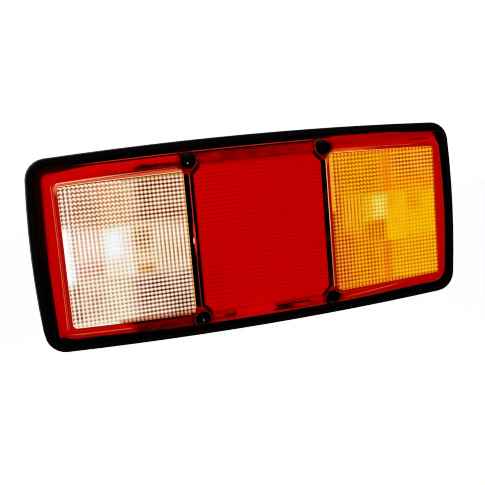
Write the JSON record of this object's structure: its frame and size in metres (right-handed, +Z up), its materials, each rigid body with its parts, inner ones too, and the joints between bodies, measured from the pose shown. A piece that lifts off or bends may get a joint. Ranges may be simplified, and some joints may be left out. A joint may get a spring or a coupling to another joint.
{
  "type": "vehicle rear lamp cluster",
  "caption": "Rectangular rear lamp cluster with bowed sides: clear reversing, red stop and tail, and amber indicator windows in a black housing, held by rear studs.",
  "frame": {"origin": "centre of the four mounting studs, on the back face of the rubber pad", "axes": "+X across the lamp from the clear window to the amber one, +Y out of the back face along the studs, +Z up; the lens looks along -Y"},
  "size_m": [0.24, 0.092, 0.104],
  "materials": {
    "black_plastic": "fine moulded satin",
    "pad_rubber": "matt",
    "grommet_rubber": "satin",
    "seal_rubber": "matt",
    "washer_rubber": "satin",
    "red_acrylic": "polished, translucent",
    "clear_acrylic": "polished, transparent",
    "amber_acrylic": "polished, translucent",
    "zinc_steel": "bright zinc plate",
    "screw_steel": "black oxide",
    "strip_brass": "satin",
    "contact_brass": "satin",
    "rivet_alloy": "satin",
    "disc_fibre": "matt",
    "bright_plate": "bright metallised",
    "socket_plate": "bright zinc plate",
    "cap_plate": "bright",
    "bulb_glass": "clear",
    "filament_wire": "grey"
  },
  "bodies": {
    "root": {"housing": "black_plastic", "mounting_pad": "pad_rubber", "cable_grommet": "grommet_rubber", "mounting_studs": "zinc_steel", "lens_gasket": "seal_rubber", "red_lens": "red_acrylic", "reverse_lens": "clear_acrylic", "indicator_lens": "amber_acrylic", "lens_screws": "screw_steel", "screw_washers": "washer_rubber", "earth_strip": "strip_brass", "strip_rivets": "rivet_alloy", "contact_discs": "disc_fibre", "reverse_reflector": "bright_plate", "stop_tail_reflector": "bright_plate", "indicator_reflector": "bright_plate", "reverse_socket": "socket_plate", "stop_tail_socket": "socket_plate", "indicator_socket": "socket_plate", "reverse_contact": "contact_brass", "stop_tail_contacts": "contact_brass", "indicator_contact": "contact_brass", "reverse_bulb_cap": "cap_plate", "stop_tail_bulb_cap": "cap_plate", "indicator_bulb_cap": "cap_plate", "reverse_bulb_glass": "bulb_glass", "stop_tail_bulb_glass": "bulb_glass", "indicator_bulb_glass": "bulb_glass", "reverse_filament": "filament_wire", "stop_tail_filaments": "filament_wire", "indicator_filament": "filament_wire"}
  },
  "joints": []
}
